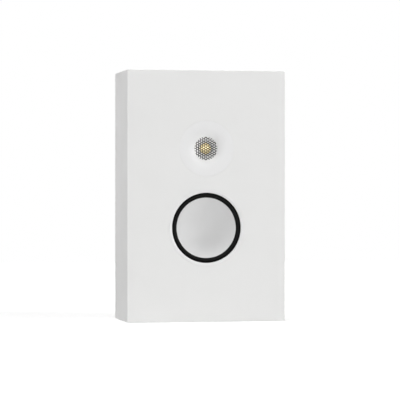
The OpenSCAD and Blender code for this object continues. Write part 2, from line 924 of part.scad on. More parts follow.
// The small board that holds the bass driver's two tags
module bass_tag_strip() {
  color("sienna")
    on_front(bass_z)
      translate([tab_in + 0.3 + metal_t, -tab_w / 2 + 1, spider_z - metal_t - strip_t])
        cube([tab_out + 3 - tab_in - metal_t, tab_w - 2, strip_t]);
}

module bass_tags() {
  color("goldenrod")
    on_front(bass_z)
      for (side = [-1, 1])
        translate([tab_out - 3, side * tag_gap / 2 - 2.4, spider_z - metal_t - strip_t - 0.8])
          cube([14, 4.8, 0.8]);
}

// Two loose leads that let the cone move
module bass_flexible_leads() {
  land_r = former_r + 9;
  start_z = spider_z - metal_t + lead_r + 0.1;
  end_z = cone_z(land_r) - cone_t - lead_r - 0.5;
  color("goldenrod")
    on_front(bass_z)
      for (side = [-1, 1])
        wire(bend(
          [tab_out + 1.5, side * 7, start_z], [tab_out + 5, side * 20, start_z + 9],
          [land_r + 20, side * 19, end_z - 8], [land_r, side * 6, end_z], 16
        ), lead_r);
}

module bass_screws() {
  color("black")
    on_front(bass_z)
      around(bass_screw_n, bass_screw_circle, 30)
        translate([0, 0, flange_back - 0.02])
          rotate([180, 0, 0])
            pan_screw(metal_t + gasket_t + 4);
}

// Tweeter

// The moulded waveguide: a flared face, a rim, a throat and bosses behind
module waveguide() {
  face = [for (r = steps(guide_r - 1, throat_r, 22)) [r, guide_z(r)]];
  back = [for (r = steps(throat_r + guide_wall + 1, guide_hole_r - 1, 14))
    [r, max(guide_z(r) - guide_wall, guide_back + 1)]];
  color("white")
    on_front(tweeter_z)
      difference() {
        union() {
          rotate_extrude()
            polygon(concat(
              [
                [guide_hole_r - 1, -guide_rim_t], [guide_r, -guide_rim_t],
                [guide_r, -0.3], [guide_r - 0.3, 0]
              ],
              face,
              [
                [throat_r, mesh_front], [mesh_r + fit, mesh_front], [mesh_r + fit, guide_back],
                [throat_r + guide_wall + 1, guide_back]
              ],
              back
            ));
          around(3, tweeter_screw_circle, 90)
            ring(0, boss_r, guide_back, guide_z(tweeter_screw_circle) - 1.5);
        }
        around(3, tweeter_screw_circle, 90)
          ring(0, 1.3 + fit / 2, guide_back - over, guide_back + 7);
        around(4, guide_screw_circle + 1, 45)
          ring(0, screw_r + fit / 2, -guide_rim_t - over, -guide_rim_t + 4.2);
      }
}

module waveguide_gasket() {
  color("dimgray")
    on_front(tweeter_z)
      difference() {
        ring(guide_hole_r + 0.3, guide_r - 0.3, -guide_rim_t - gasket_t, -guide_rim_t);
        around(4, guide_screw_circle + 1, 45)
          ring(0, screw_r + 2 * fit, -guide_rim_t - 2 * over, 0);
      }
}

module waveguide_screws() {
  color("black")
    on_front(tweeter_z)
      around(4, guide_screw_circle + 1, 45)
        translate([0, 0, -baffle_t + 7.98])
          rotate([180, 0, 0])
            pan_screw(baffle_t - 8 - guide_rim_t + 3.8);
}

// The hexagonal mesh in the throat: every cell inside the rim is open
module tweeter_mesh() {
  column = mesh_pitch * sqrt(3) / 2;
  hole_r = (mesh_pitch - mesh_strand) / sqrt(3);
  reach = ceil(mesh_r / column);
  color("gray")
    on_front(tweeter_z)
      translate([0, 0, mesh_back])
        linear_extrude(mesh_t)
          difference() {
            circle(r = mesh_r);
            for (i = [-reach:reach])
              for (k = [-reach:reach]) {
                x = i * column;
                y = (k + (abs(i) % 2) / 2) * mesh_pitch;
                if (norm([x, y]) < mesh_r - hole_r - 0.3)
                  translate([x, y])
                    circle(r = hole_r, $fn = 6);
              }
          }
}

// The metal dome, with a narrow land at its foot
module tweeter_dome() {
  ball_r = (dome_r * dome_r + dome_h * dome_h) / (2 * dome_h);
  half = asin(dome_r / ball_r);
  mid = dome_top - ball_r;
  color("gold")
    on_front(tweeter_z)
      rotate_extrude()
        polygon(concat(
          arc_points(0, mid, ball_r, 90, 90 - half, 16),
          [
            [dome_r + dome_land, dome_base], [dome_r + dome_land, dome_base - dome_t],
            [dome_r - dome_t, dome_base - dome_t]
          ],
          arc_points(0, mid, ball_r - dome_t, 90 - half, 90, 16)
        ));
}

// The soft roll round the dome
module tweeter_surround() {
  skin = 0.25;
  r_in = dome_r + dome_land + 0.05;
  roll_r = roll_w / 2;
  mid = r_in + 0.4 + roll_r;
  low = dome_base - dome_t;
  color("gainsboro")
    on_front(tweeter_z)
      rotate_extrude()
        polygon(concat(
          [[r_in, low], [r_in, low + skin]],
          arc_points(mid, low + skin, roll_r, 180, 0, 10),
          [[shelf_out_r - 0.1, low + skin], [shelf_out_r - 0.1, low], [mid + roll_r - skin, low]],
          arc_points(mid, low, roll_r - skin, 0, 180, 10)
        ));
}

module tweeter_former() {
  color("goldenrod")
    on_front(tweeter_z)
      ring(
        dome_r - tweeter_former_t - dome_t, dome_r - dome_t,
        tweeter_plate_front - tweeter_plate_t / 2 - tweeter_coil_l / 2 - 0.3, dome_base - dome_t
      );
}

module tweeter_coil() {
  mid = tweeter_plate_front - tweeter_plate_t / 2;
  r_in = dome_r - dome_t;
  color("chocolate")
    on_front(tweeter_z)
      ring(r_in, r_in + tweeter_coil_t, mid - tweeter_coil_l / 2, mid + tweeter_coil_l / 2);
}

// The moulded ring: a funnel round the dome that clamps the mesh and holds the motor
module tweeter_mount_ring() {
  shelf = dome_base - dome_t;
  color("gainsboro")
    on_front(tweeter_z)
      difference() {
        rotate_extrude()
          polygon([
            [shelf_out_r, shelf], [shelf_out_r, shelf + 1.2], [mesh_r - 1.8, mesh_back - 0.3],
            [mesh_r - 1.5, mesh_back], [mesh_r, mesh_back], [mesh_r, guide_back],
            [ring_r, guide_back], [ring_r, guide_back - ring_t],
            [dome_r + 0.9, guide_back - ring_t], [dome_r + 0.9, guide_back - ring_t + 0.8],
            [shelf_out_r - 1, shelf]
          ]);
        around(3, tweeter_screw_circle, 90)
          ring(0, 1.3 + fit, guide_back - ring_t - over, guide_back + over);
      }
}

module tweeter_top_plate() {
  color("darkgray")
    on_front(tweeter_z)
      ring(
        dome_r - dome_t + tweeter_coil_t + tweeter_gap, tweeter_magnet_d / 2 - 1,
        tweeter_magnet_front, tweeter_plate_front
      );
}

module tweeter_magnet() {
  color("darkslategray")
    on_front(tweeter_z)
      ring(dome_r + 4, tweeter_magnet_d / 2, tweeter_magnet_back, tweeter_magnet_front);
}

// The back plate and the pole in one piece, open through the middle to the chamber
module tweeter_pole_yoke() {
  pole_r = dome_r - dome_t - tweeter_former_t - tweeter_gap;
  plate_r = tweeter_magnet_d / 2 - 1;
  color("darkgray")
    on_front(tweeter_z)
      rotate_extrude()
        polygon([
          [4, tweeter_magnet_back - 3], [plate_r, tweeter_magnet_back - 3], [plate_r, tweeter_magnet_back],
          [pole_r, tweeter_magnet_back], [pole_r, tweeter_plate_front], [4, tweeter_plate_front]
        ]);
}

// The cup behind the magnet that takes up the dome's back wave
module tweeter_rear_chamber() {
  r = tweeter_magnet_d / 2 - 3;
  top = tweeter_magnet_back - 3;
  color("black")
    on_front(tweeter_z)
      rotate_extrude()
        polygon([
          [0, top - chamber_l], [r - 2, top - chamber_l], [r, top - chamber_l + 2], [r, top],
          [r - 2, top], [r - 2, top - chamber_l + 2.5], [0, top - chamber_l + 2.5]
        ]);
}

module tweeter_tags() {
  color("goldenrod")
    on_front(tweeter_z)
      for (side = [-1, 1])
        translate([side * 8 - 2.4, -ring_r + 1, tweeter_plate_front - 0.8])
          cube([4.8, 7, 0.8]);
}

module tweeter_screws() {
  color("black")
    on_front(tweeter_z)
      around(3, tweeter_screw_circle, 90)
        translate([0, 0, tweeter_plate_front - 0.02])
          rotate([180, 0, 0])
            pan_screw(ring_t + 6.5, 1.3);
}

// Crossover

// The board's four corners, seen from inside the box: z grows forwards
module board_screw_places() {
  for (x = [-1, 1])
    for (z = [-1, 1])
      translate([
        x * (board_w / 2 - board_screw_inset), board_back_y, board_z + z * (board_h / 2 - board_screw_inset)
      ])
        rotate([90, 0, 0])
          children();
}

// Puts a part's frame on the board's front at a place: its z grows forwards
module on_board(place) {
  translate([place[0], board_front_y, board_z + place[1]])
    rotate([90, 0, 0])
      children();
}

module crossover_board() {
  color("darkgreen")
    difference() {
      translate([0, board_back_y, board_z])
        rotate([90, 0, 0])
          linear_extrude(board_t)
            polygon(round_rect(board_w, board_h, 3));
      board_screw_places()
        cylinder(r = board_screw_r + fit, h = 20, center = true, $fn = 24);
    }
}

module crossover_spacers() {
  color("silver")
    board_screw_places()
      ring(board_screw_r + fit, 3.2, -spacer_h, 0);
}

module crossover_screws() {
  color("silver")
    board_screw_places()
      translate([0, 0, board_t])
        pan_screw(board_t + spacer_h + 3.5, board_screw_r);
}

// The bass coil's iron core: a bobbin with a flange at each end
module bass_choke_core() {
  color("dimgray")
    on_board(core_place) {
      ring(0, core_d / 2, 0, core_flange_t);
      ring(0, core_bar_r, 0, core_h);
      ring(0, core_d / 2, core_h - core_flange_t, core_h);
    }
}

module bass_choke_winding() {
  color("chocolate")
    on_board(core_place)
      ring(core_bar_r + fit, core_d / 2 - 1.5, core_flange_t + fit, core_h - core_flange_t - fit);
}

// An air coil that stands on the board by itself
module treble_choke() {
  color("chocolate")
    on_board(air_coil_place)
      rotate([0, 90, 0])
        translate([-air_coil_d / 2, 0, 0])
          ring(air_coil_d * 0.23, air_coil_d / 2, -air_coil_w / 2, air_coil_w / 2);
}

// A film capacitor that lies on the board, with eased ends
module capacitor(place, r, l) {
  ease = 1;
  on_board(place)
    translate([0, 0, r])
      rotate([0, 90, 0])
        rotate_extrude()
          polygon([
            [0, -l / 2], [r - ease, -l / 2], [r, ease - l / 2],
            [r, l / 2 - ease], [r - ease, l / 2], [0, l / 2]
          ]);
}

module capacitors() {
  color("gold") {
    capacitor(capacitor_places[0], capacitor_d / 2, capacitor_l);
    capacitor(capacitor_places[1], capacitor_d * 0.4, capacitor_l * 0.82);
  }
}

// Two cement resistors
module resistors() {
  color("ivory")
    for (place = resistor_places)
      on_board(place)
        translate([-resistor_t / 2, -resistor_l / 2, 0])
          cube([resistor_t, resistor_l, resistor_t]);
}

// A run of wire through places that each have a way on, as one smooth list of points
function wire_run(stops) = [
  for (i = [0:len(stops) - 2], p = bend(
    stops[i][0], stops[i][0] + stops[i][1], stops[i + 1][0] - stops[i + 1][1], stops[i + 1][0], 10
  )) each (i > 0 && p == stops[i][0] ? [] : [p])
];

// Wires from the terminals to the board, and from the board to both drivers
module hookup_wires() {
  gap = 0.5;
  lift = 6;
  foot_z = board_z - board_h / 2 + 4;
  board_y = board_front_y - gap;
  through_y = rear_front_y - brace_rail - 4;
  stud_y = back_y - term_depth - cup_wall - stem_l - gap;
  tweeter_tag_y = front_y - tweeter_plate_front + 0.8 + gap;
  tweeter_tag_z = tweeter_z - ring_r + 1.5;
  bass_tag_y = front_y - spider_z + metal_t + strip_t + 0.8 + gap;
  behind_y = front_y - magnet_back + plate_t + lift;
  magnet_r = bass_magnet_d / 2;
  right_x = (cab_w / 2 - wall_t) * 0.73;
  color("crimson")
    for (side = [-1, 1]) {
      wire(wire_run([
        [[side * post_pitch / 2, stud_y, post_z], [0, -2 * lift, 0]],
        [[side * magnet_r * 0.9, behind_y, bass_z - magnet_r / 3], [0, 0, magnet_r * 0.6]],
        [[side * magnet_r, through_y, brace_z], [0, 0, magnet_r * 0.4]],
        [[side * magnet_r, board_y, foot_z], [0, 3 * lift, 0]]
      ]), wire_r);
      wire(wire_run([
        [[side * board_w * 0.09, board_y, foot_z], [0, -3 * lift, 0]],
        [[side * ring_r * 1.1, board_y - 7 * lift, tweeter_z - lift], [0, -2 * lift, -3 * lift]],
        [[side * 8, tweeter_tag_y, tweeter_tag_z], [0, -3 * lift, 0]]
      ]), wire_r);
      wire(wire_run([
        [[board_w * 0.21 + side * 3, board_y, foot_z], [0, -4 * lift, 0]],
        [[right_x + side * 3, front_y + cab_d / 2, brace_z], [0, 0, -6 * lift]],
        [[tab_out + 8, bass_tag_y, bass_z - side * tag_gap / 2], [0, -4 * lift, 0]]
      ]), wire_r);
    }
}

front_baffle();
left_side_panel();
right_side_panel();
top_panel();
bottom_panel();
rear_panel();
rear_panel_gasket();
rear_panel_screws();
cross_brace();
wadding_pads();
keyhole_plates();
keyhole_screws();
wall_pads();
bass_trim_ring();
bass_gasket();
bass_basket();
bass_surround();
bass_cone();
bass_spider();
bass_former();
bass_coil();
bass_top_plate();
bass_magnet();
bass_pole_yoke();
bass_tag_strip();
bass_tags();
bass_flexible_leads();
bass_screws();
waveguide();
waveguide_gasket();
waveguide_screws();
tweeter_mesh();
tweeter_dome();
tweeter_surround();
tweeter_former();
tweeter_coil();
tweeter_mount_ring();
tweeter_top_plate();
tweeter_magnet();
tweeter_pole_yoke();
tweeter_rear_chamber();
tweeter_tags();
tweeter_screws();
crossover_board();
crossover_spacers();
crossover_screws();
bass_choke_core();
bass_choke_winding();
treble_choke();
capacitors();
resistors();
terminal_cup();
terminal_cup_gasket();
terminal_cup_screws();
terminal_studs();
red_terminal_cap();
black_terminal_cap();
terminal_nuts();
hookup_wires();
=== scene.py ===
import json
import math

import bmesh
import bpy
import numpy as np
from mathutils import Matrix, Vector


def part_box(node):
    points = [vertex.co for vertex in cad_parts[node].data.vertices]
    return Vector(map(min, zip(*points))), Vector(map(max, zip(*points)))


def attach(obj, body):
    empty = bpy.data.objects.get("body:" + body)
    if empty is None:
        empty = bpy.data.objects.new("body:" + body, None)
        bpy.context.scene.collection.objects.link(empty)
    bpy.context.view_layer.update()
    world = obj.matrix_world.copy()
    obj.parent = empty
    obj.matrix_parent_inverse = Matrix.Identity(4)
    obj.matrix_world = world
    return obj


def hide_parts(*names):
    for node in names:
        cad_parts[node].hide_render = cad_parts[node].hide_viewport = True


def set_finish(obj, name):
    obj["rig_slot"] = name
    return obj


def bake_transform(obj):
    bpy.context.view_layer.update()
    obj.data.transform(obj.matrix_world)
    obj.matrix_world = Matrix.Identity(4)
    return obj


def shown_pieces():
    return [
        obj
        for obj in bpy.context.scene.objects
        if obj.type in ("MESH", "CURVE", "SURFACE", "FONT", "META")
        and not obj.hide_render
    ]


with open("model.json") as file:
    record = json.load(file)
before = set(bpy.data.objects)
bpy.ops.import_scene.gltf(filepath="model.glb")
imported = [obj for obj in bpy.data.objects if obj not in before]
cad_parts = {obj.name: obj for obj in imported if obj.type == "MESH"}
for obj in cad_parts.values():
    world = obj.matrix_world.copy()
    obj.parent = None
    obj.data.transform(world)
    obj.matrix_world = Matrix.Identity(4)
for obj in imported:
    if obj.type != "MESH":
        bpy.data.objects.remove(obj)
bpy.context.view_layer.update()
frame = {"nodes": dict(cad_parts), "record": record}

nodes = frame["nodes"]

# Named sizes of the speaker are in millimetres, and MM makes them metres. In an outline, r is the distance
# from a driver's axis and z is the height in front of the cabinet's face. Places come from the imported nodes.
MM = 0.001
TURN_STEPS = 192

cabinet_low, cabinet_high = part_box("front_baffle")
cabinet_height = cabinet_high.z - cabinet_low.z
front_y = cabinet_low.y


def middle_height(node):
    """Height of a node's middle."""
    low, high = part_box(node)
    return (low.z + high.z) / 2


bass_z = middle_height("bass_trim_ring")
tweeter_z = middle_height("waveguide")


# Camera

# The photograph's camera is level, a little to the left, and shifted down. The place is in heights of the
# cabinet, the lens and sensor in millimetres, and the shift in pixels of the photograph.
PHOTO_SIDE = 400
SHIFT_PIXELS = -10.2
LENS = 187.3
SENSOR_WIDTH = 36
YAW = math.radians(11.29)
BACK_FROM_CORNER = 8.21
RIGHT_OF_CORNER = 0.2869
EYE_HEIGHT = 0.525
SIGHT_METRES = 50


def place_camera():
    """A level camera that stands a given number of cabinet heights from the front left edge."""
    ahead = np.array([math.sin(YAW), math.cos(YAW)])
    right = np.array([math.cos(YAW), -math.sin(YAW)])
    corner = np.array([cabinet_low.x, front_y])
    place = corner + cabinet_height * (RIGHT_OF_CORNER * right - BACK_FROM_CORNER * ahead)
    data = bpy.data.cameras.new("camera")
    data.lens = LENS
    data.sensor_width = SENSOR_WIDTH
    data.shift_y = SHIFT_PIXELS / PHOTO_SIDE
    data.clip_end = SIGHT_METRES
    camera = bpy.data.objects.new("camera", data)
    camera.location = (place[0], place[1], EYE_HEIGHT * cabinet_height)
    camera.rotation_euler = (math.pi / 2, 0, -YAW)
    bpy.context.collection.objects.link(camera)
    bpy.context.scene.camera = camera


place_camera()


# Meshes worked out with numpy

# In metres: points this close are one point, and an edge this short has no length
SAME_POINT = 2e-6
NO_LENGTH = 1e-7
# In millimetres, in an outline
SAME_CORNER = 1e-5
# Keeps a division by a length away from zero
SMALLEST = 1e-12


def mesh_piece(name, points, faces, body, slot, replaced=(), sharp=32, closed_rim=False):
    """Points and faces as one mesh: doubles merged, faces turned outwards, smooth between the edges that are
    sharper than a number of degrees. A closed rim is a band between the mesh's two open edges."""
    data = bpy.data.meshes.new(name)
    data.from_pydata(np.asarray(points).tolist(), [], faces if isinstance(faces, list) else faces.tolist())
    work = bmesh.new()
    work.from_mesh(data)
    bmesh.ops.remove_doubles(work, verts=work.verts, dist=SAME_POINT)
    bmesh.ops.dissolve_degenerate(work, edges=work.edges, dist=NO_LENGTH)
    bmesh.ops.delete(work, geom=[edge for edge in work.edges if edge.is_wire], context="EDGES")
    if closed_rim:
        bmesh.ops.bridge_loops(work, edges=[edge for edge in work.edges if edge.is_boundary])
    bmesh.ops.recalc_face_normals(work, faces=work.faces)
    work.to_mesh(data)
    work.free()
    data.shade_smooth()
    data.set_sharp_from_angle(angle=math.radians(sharp))
    piece = bpy.data.objects.new(name, data)
    bpy.context.collection.objects.link(piece)
    if body:
        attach(piece, body)
    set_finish(piece, slot)
    if replaced:
        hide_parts(*replaced)
    return piece


def sheet_faces(rows, columns, around_rows=False, around_columns=True):
    """Quads of a grid of points; a grid that closes on itself wraps round."""
    last_row = rows if around_rows else rows - 1
    last_column = columns if around_columns else columns - 1
    i, j = np.meshgrid(np.arange(last_row), np.arange(last_column), indexing="ij")
    down = (i + 1) % rows
    on = (j + 1) % columns
    quads = [i * columns + j, i * columns + on, down * columns + on, down * columns + j]
    return np.stack(quads, -1).reshape(-1, 4)


def unit(ways):
    """Each way divided by its length, where it has one."""
    return ways / np.maximum(np.linalg.norm(ways, axis=-1, keepdims=True), SMALLEST)


def eased(corners, steps=4):
    """An outline whose corners (r, z, ease) are rounded: each is the quadratic curve between the points that
    lie ease before it and ease after it."""
    corners = np.array(corners, float)
    at = corners[:, :2]
    ease = corners[:, 2:]
    start = at + unit(np.roll(at, 1, 0) - at) * ease
    stop = at + unit(np.roll(at, -1, 0) - at) * ease
    t = np.linspace(0, 1, steps + 1)[None, :, None]
    curve = (1 - t) ** 2 * start[:, None] + 2 * t * (1 - t) * at[:, None] + t * t * stop[:, None]
    flat = curve.reshape(-1, 2)
    apart = np.linalg.norm(flat - np.roll(flat, 1, 0), axis=1) > SAME_CORNER
    return flat[apart]


def turned(name, outline, height, body, slot, replaced=(), steps=TURN_STEPS, sharp=32):
    """A closed outline turned round a driver's axis: its point (r, z) goes to x = r cos a, y = front - z and
    the height of the axis + r sin a, for the angles a of one turn."""
    outline = np.asarray(outline, float) * MM
    a = np.linspace(0, 2 * math.pi, steps, endpoint=False)[None]
    r = outline[:, :1]
    points = np.stack([r * np.cos(a), front_y - outline[:, 1:] + 0 * a, height + r * np.sin(a)], -1)
    faces = sheet_faces(len(outline), steps, around_rows=True)
    return mesh_piece(name, points.reshape(-1, 3), faces, body, slot, replaced, sharp)


def plain(points):
    """Outline corners without rounding."""
    return [(r, z, 0) for r, z in points]


def arc(r_mid, z_mid, radius, start, stop, steps):
    """Corners along a circular arc in an outline, in degrees."""
    a = np.radians(np.linspace(start, stop, steps + 1))
    return plain(zip(r_mid + radius * np.cos(a), z_mid + radius * np.sin(a)))


# Bass driver

TRIM_R = 58
TRIM_IN_R = 53
TRIM_T = 3
BEVEL_W = 2.2
BEVEL_DEPTH = 1.1
RUBBER_LAND_Z = -4
RIM_OUT_R = TRIM_IN_R + 0.6
RIM_IN_R = RIM_OUT_R - 3
CONE_R = 45.6
CONE_DEPTH = 19
CONE_POWER = 1.8
CONE_T = 0.8
CONE_RIM_Z = RUBBER_LAND_Z + 0.6
FORMER_IN_R = 15
FORMER_R = 15.3
SPIDER_Z = -36
SPIDER_R = 42.7


def cone_z(r):
    """Height of the cone's face: one bowl, rim - depth * (1 - (r / R) ** power)."""
    return CONE_RIM_Z - CONE_DEPTH * (1 - (np.asarray(r, float) / CONE_R) ** CONE_POWER)


def make_trim_ring():
    """The white ring with its bevelled inner edge."""
    outer_ease = 0.25
    bevel_ease = 0.2
    outline = eased([
        (TRIM_IN_R, -TRIM_T, 0), (TRIM_R, -TRIM_T, 0), (TRIM_R, 0, outer_ease),
        (TRIM_IN_R + BEVEL_W, 0, bevel_ease), (TRIM_IN_R, -BEVEL_DEPTH, bevel_ease)
    ])
    turned("bass_trim_ring_finish", outline, bass_z, "cabinet", "trim_white", ["bass_trim_ring"], sharp=50)


def make_cone():
    """The bowl, its rounded rim and the short neck behind it, which the former is glued into."""
    rim_w = 0.3
    rim_drop = 0.1
    front_ease = 0.05
    back_ease = 0.1
    neck_wall = 1
    neck_length = 3
    glue_gap = 0.05
    neck_in = FORMER_R + glue_gap
    neck_out = neck_in + neck_wall
    neck_end = float(cone_z(FORMER_IN_R)) - CONE_T - neck_length
    face_r = np.linspace(0, CONE_R - rim_w, 64)
    back_r = np.linspace(CONE_R - rim_w, neck_out, 30)
    well_r = np.linspace(neck_in, 0, 12)
    outline = eased(
        plain(zip(face_r, cone_z(face_r)))
        + [(CONE_R, CONE_RIM_Z - rim_drop, front_ease), (CONE_R, CONE_RIM_Z - CONE_T, back_ease)]
        + plain(zip(back_r, cone_z(back_r) - CONE_T))
        + plain([(neck_out, neck_end), (neck_in, neck_end)])
        + plain(zip(well_r, cone_z(well_r) - CONE_T))
    )
    turned("bass_cone_finish", outline, bass_z, "bass_cone", "cone_grey", ["bass_cone"])


def blend_round(piece, height, r_still, r_moving):
    """Bakes a ring's placement into its mesh and works out a share for each point between its outer edge,
    which stays, and its inner edge, which moves with the cone or the dome: the share is a smooth step of the
    radius. Nothing uses the share, so the ring does not bend."""
    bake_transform(piece)
    points = np.empty(len(piece.data.vertices) * 3)
    piece.data.vertices.foreach_get("co", points)
    points = points.reshape(-1, 3)
    r = np.hypot(points[:, 0], points[:, 2] - height)
    share = np.clip((r_still * MM - r) / ((r_still - r_moving) * MM), 0, 1)
    share = share * share * (3 - 2 * share)


def make_surround():
    """The rubber edge: an outer land, a half roll and an inner land under the cone's rim."""
    skin = 0.8
    under_trim = -3.1
    edge_r = RIM_OUT_R - 0.2
    roll_out = RIM_IN_R + 1.2
    roll_in = CONE_R + 0.4
    roll_r = (roll_out - roll_in) / 2
    roll_mid = (roll_out + roll_in) / 2
    land_r = CONE_R - 3
    land_z = float(cone_z(land_r)) - CONE_T - 0.5
    outline = eased(
        plain([(edge_r, under_trim), (edge_r, RUBBER_LAND_Z), (roll_out - skin, RUBBER_LAND_Z)])
        + arc(roll_mid, RUBBER_LAND_Z, roll_r - skin, 0, 180, 20)
        + plain([(roll_in, land_z - skin), (land_r, land_z - skin), (land_r, land_z)])
        + plain([(roll_in - 0.2, land_z + skin)])
        + arc(roll_mid, RUBBER_LAND_Z, roll_r, 180, 0, 28)
        + plain([(roll_out + 0.3, under_trim)])
    )
    piece = turned(
        "bass_surround_finish", outline, bass_z, None, "surround_rubber", ["bass_surround"], sharp=50
    )
    blend_round(piece, bass_z, roll_out, roll_in)


def make_spider():
    """The corrugated cloth: a sine of the radius between two flat lands."""
    thickness = 0.5
    wave = 1.1
    waves = 4
    land_w = 2
    r_in = FORMER_R + 0.1
    wave_in = r_in + land_w
    wave_out = 38.5
    front_z = SPIDER_Z + thickness
    r = np.linspace(wave_in, wave_out, 97)
    z = SPIDER_Z + wave * np.sin(2 * math.pi * waves * (r - wave_in) / (wave_out - wave_in))
    outline = (
        [(r_in, front_z)] + list(zip(r, z + thickness)) + [(SPIDER_R, front_z), (SPIDER_R, SPIDER_Z)]
        + list(zip(r[::-1], z[::-1])) + [(r_in, SPIDER_Z)]
    )
    piece = turned("bass_spider_cloth", outline, bass_z, None, "spider_cloth", ["bass_spider"], sharp=60)
    blend_round(piece, bass_z, wave_out, r_in + land_w / 2)


LEAD_R = 0.6
LEAD_START_R = 53.5
LEAD_END_R = 24
LEAD_STOPS = 141
LEAD_SIDES = 16
LEAD_STRANDS = 4
STRAND_TURNS = 9
STRAND_SHARE = 0.12


def make_leads():
    """Two braided leads on cubic curves p(t) from the tag strip to the cone. A ring of the tube lies across
    the curve, with radius R (1 + share cos(strands (a - 2 pi turns t))), so that strands seem to wind round
    it."""
    end_z = float(cone_z(LEAD_END_R)) - CONE_T - LEAD_R - 0.5
    start_z = SPIDER_Z - 1.8
    t = np.linspace(0, 1, LEAD_STOPS)[:, None]
    a = np.linspace(0, 2 * math.pi, LEAD_SIDES, endpoint=False)[None]
    every = []
    for side in (-1, 1):
        # The curve's four corners, each outwards, sideways and forwards from the driver's axis and the face
        corners = np.array([
            [LEAD_START_R, side * 7, start_z], [LEAD_START_R + 3.5, side * 20, start_z + 9],
            [LEAD_END_R + 20, side * 19, end_z - 8], [LEAD_END_R, side * 6, end_z]
        ])
        line = (
            (1 - t) ** 3 * corners[0] + 3 * (1 - t) ** 2 * t * corners[1]
            + 3 * (1 - t) * t * t * corners[2] + t ** 3 * corners[3]
        )
        way = unit(np.gradient(line, axis=0))
        across = unit(np.cross(way, [1.0, 0, 0]))
        up = np.cross(way, across)
        r = LEAD_R * (1 + STRAND_SHARE * np.cos(LEAD_STRANDS * (a - 2 * math.pi * STRAND_TURNS * t)))
        tube = line[:, None] + r[..., None] * (
            np.cos(a)[..., None] * across[:, None] + np.sin(a)[..., None] * up[:, None]
        )
        every.append(np.concatenate([line[:1], tube.reshape(-1, 3), line[-1:]]))
    # Faces of one lead: its rings, and a fan of triangles to the point at each end
    quads = sheet_faces(LEAD_STOPS, LEAD_SIDES) + 1
    k = np.arange(LEAD_SIDES)
    following = (k + 1) % LEAD_SIDES
    low = np.stack([0 * k, 1 + following, 1 + k], -1)
    tip = 1 + LEAD_STOPS * LEAD_SIDES
    high = np.stack([tip + 0 * k, tip - LEAD_SIDES + k, tip - LEAD_SIDES + following], -1)
    faces = quads.tolist() + low.tolist() + high.tolist()
    count = tip + 1
    faces += [[point + count for point in face] for face in faces]
    points = np.concatenate(every)
    placed = np.stack([points[:, 0], -points[:, 2], points[:, 1]], -1) * MM + [0, front_y, bass_z]
    piece = mesh_piece(
        "bass_flexible_leads_braid", placed, faces, None, "copper", ["bass_flexible_leads"], sharp=70
    )
    blend_round(piece, bass_z, LEAD_START_R - 1, LEAD_END_R + 2)


# Tweeter

GUIDE_R = 42
THROAT_R = 17.5
GUIDE_LAND = 1
GUIDE_DEPTH = 6
GUIDE_POWER = 4
GUIDE_WALL = 3
GUIDE_RIM_T = 6
GUIDE_HOLE_R = 34
GUIDE_BACK = -15
MESH_R = 18.8
MESH_FRONT = -6.6
MESH_T = 0.5
MESH_BACK = MESH_FRONT - MESH_T
MESH_PITCH = 3.7
MESH_STRAND = 1.2
MESH_RIM = 0.8
MESH_EASE = 0.12
MESH_SEAT_GAP = 0.1
DOME_R = 8
DOME_H = 3.4
DOME_T = 0.3
DOME_TOP = MESH_BACK - 0.9
DOME_BASE = DOME_TOP - DOME_H
DOME_LAND = 0.25
ROLL_W = 2.2
SHELF_R = DOME_R + ROLL_W + 1.3
ROLL_SKIN = 0.25


def guide_z(r):
    """Height of the waveguide's face, shallow at its rim and steeper towards the throat: -depth * share **
    power, where the share of the way from the flat land to the throat grows from 0 to 1."""
    share = (GUIDE_R - GUIDE_LAND - np.asarray(r, float)) / (GUIDE_R - GUIDE_LAND - THROAT_R)
    return -GUIDE_DEPTH * share ** GUIDE_POWER


def make_waveguide():
    """The flared face, the rim and the throat of the waveguide, with its wall behind."""
    rim_ease = 0.3
    throat_ease = 0.2
    body_r = GUIDE_HOLE_R - 1
    wall_r = THROAT_R + GUIDE_WALL + 1
    seat_r = MESH_R + MESH_SEAT_GAP
    face_r = np.linspace(GUIDE_R - GUIDE_LAND, THROAT_R + 0.3, 72)
    back_r = np.linspace(wall_r, body_r, 20)
    back_z = np.maximum(guide_z(back_r) - GUIDE_WALL, GUIDE_BACK + 1)
    outline = eased(
        plain([(body_r, -GUIDE_RIM_T), (GUIDE_R, -GUIDE_RIM_T)]) + [(GUIDE_R, 0, rim_ease)]
        + plain(zip(face_r, guide_z(face_r)))
        + [(THROAT_R, float(guide_z(THROAT_R)), throat_ease), (THROAT_R, MESH_FRONT, 0)]
        + plain([(seat_r, MESH_FRONT), (seat_r, GUIDE_BACK), (wall_r, GUIDE_BACK)])
        + plain(zip(back_r, back_z))
    )
    turned("waveguide_finish", outline, tweeter_z, "cabinet", "trim_white", ["waveguide"], sharp=40)


